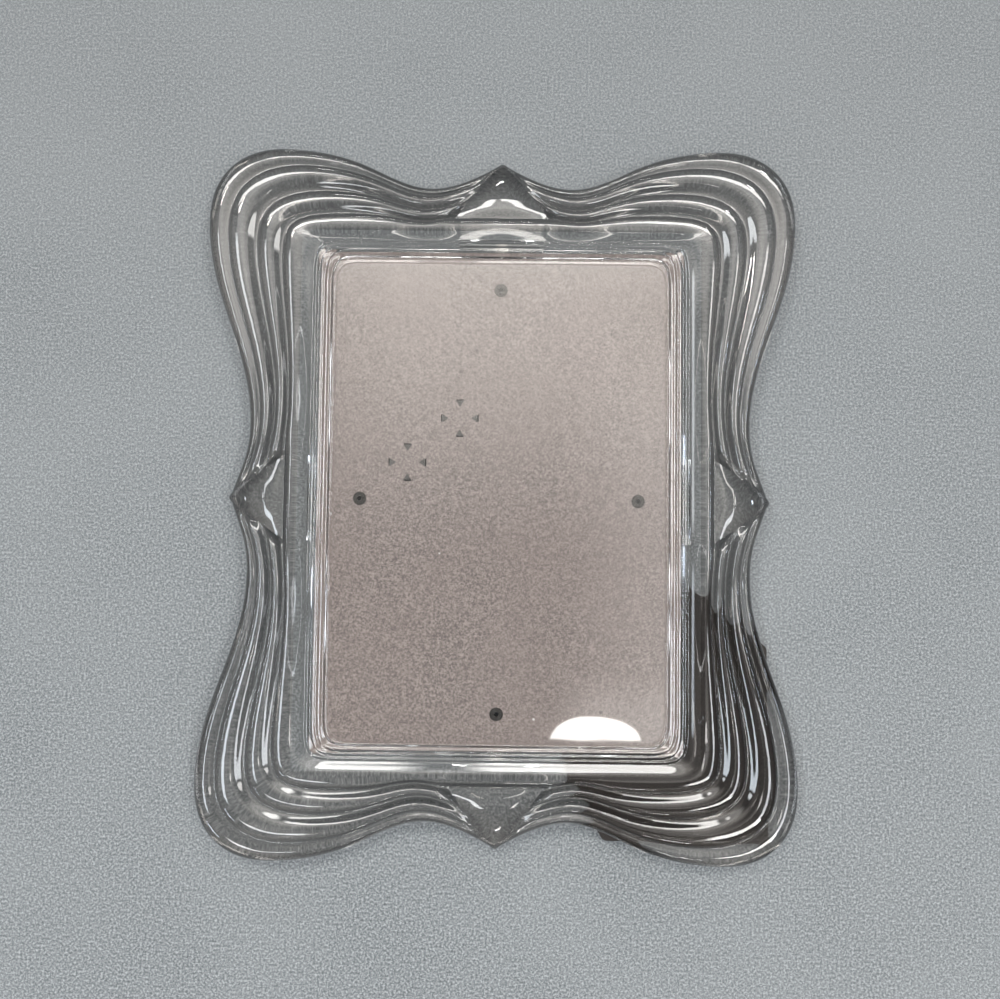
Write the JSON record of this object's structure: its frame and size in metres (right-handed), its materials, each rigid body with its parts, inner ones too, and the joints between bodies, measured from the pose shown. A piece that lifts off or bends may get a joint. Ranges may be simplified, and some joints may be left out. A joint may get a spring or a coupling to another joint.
{
  "type": "glass photo frame",
  "caption": "Lobed pressed glass photo frame with a terraced border and stepped window bezel, a hardboard backing held by turn buttons and a folding easel leg for upright or sideways display.",
  "frame": {"origin": "below the middle of the frame, level with the rear face of the folded easel leg", "axes": "+X across the frame to its right seen from the front, +Y to its top, +Z out of its front"},
  "size_m": [0.2116, 0.254, 0.0214],
  "materials": {
    "clear_glass": "clear, fire-polished",
    "hardboard": "raw pressed fibre, taupe",
    "backing_cloth": "short dark pile",
    "plated_steel": "nickel plated, dull",
    "eyelet_steel": "nickel plated, aged",
    "pin_steel": "drawn wire",
    "rivet_steel": "nickel plated, dull",
    "leg_board": "pressed fibreboard",
    "leg_velvet": "short dark pile"
  },
  "bodies": {
    "frame": {"glass_frame": "clear_glass", "backing_board": "hardboard", "backing_cover": "backing_cloth", "button_eyelet_top": "eyelet_steel", "button_eyelet_right": "eyelet_steel", "button_eyelet_bottom": "eyelet_steel", "button_eyelet_left": "eyelet_steel", "hinge_fixed_leaf": "plated_steel", "hinge_pin": "pin_steel", "hinge_stud_lower": "plated_steel", "hinge_stud_upper": "plated_steel"},
    "easel_leg": {"leg_core": "leg_board", "leg_cover": "leg_velvet", "leg_lining": "leg_velvet", "hinge_moving_leaf": "plated_steel", "leg_rivet_lower": "rivet_steel", "leg_rivet_upper": "rivet_steel"},
    "button_top": {"turn_button_top": "plated_steel"},
    "button_right": {"turn_button_right": "plated_steel"},
    "button_bottom": {"turn_button_bottom": "plated_steel"},
    "button_left": {"turn_button_left": "plated_steel"}
  },
  "joints": [
    {"name": "easel_hinge", "type": "hinge", "parent": "frame", "child": "easel_leg", "pos_m": [-0.01534, 0.01183, 0.0051], "axis": [0.7559, 0.6547, 0], "range_deg": [0, 40]},
    {"name": "turn_top", "type": "hinge", "parent": "frame", "child": "button_top", "pos_m": [0, 0.0747, 0.0066], "axis": [0, 0, 1], "continuous": true},
    {"name": "turn_right", "type": "hinge", "parent": "frame", "child": "button_right", "pos_m": [0.049, 0, 0.0066], "axis": [0, 0, 1], "continuous": true},
    {"name": "turn_bottom", "type": "hinge", "parent": "frame", "child": "button_bottom", "pos_m": [0, -0.0747, 0.0066], "axis": [0, 0, 1], "continuous": true},
    {"name": "turn_left", "type": "hinge", "parent": "frame", "child": "button_left", "pos_m": [-0.049, 0, 0.0066], "axis": [0, 0, 1], "range_deg": [-75, 165]}
  ]
}
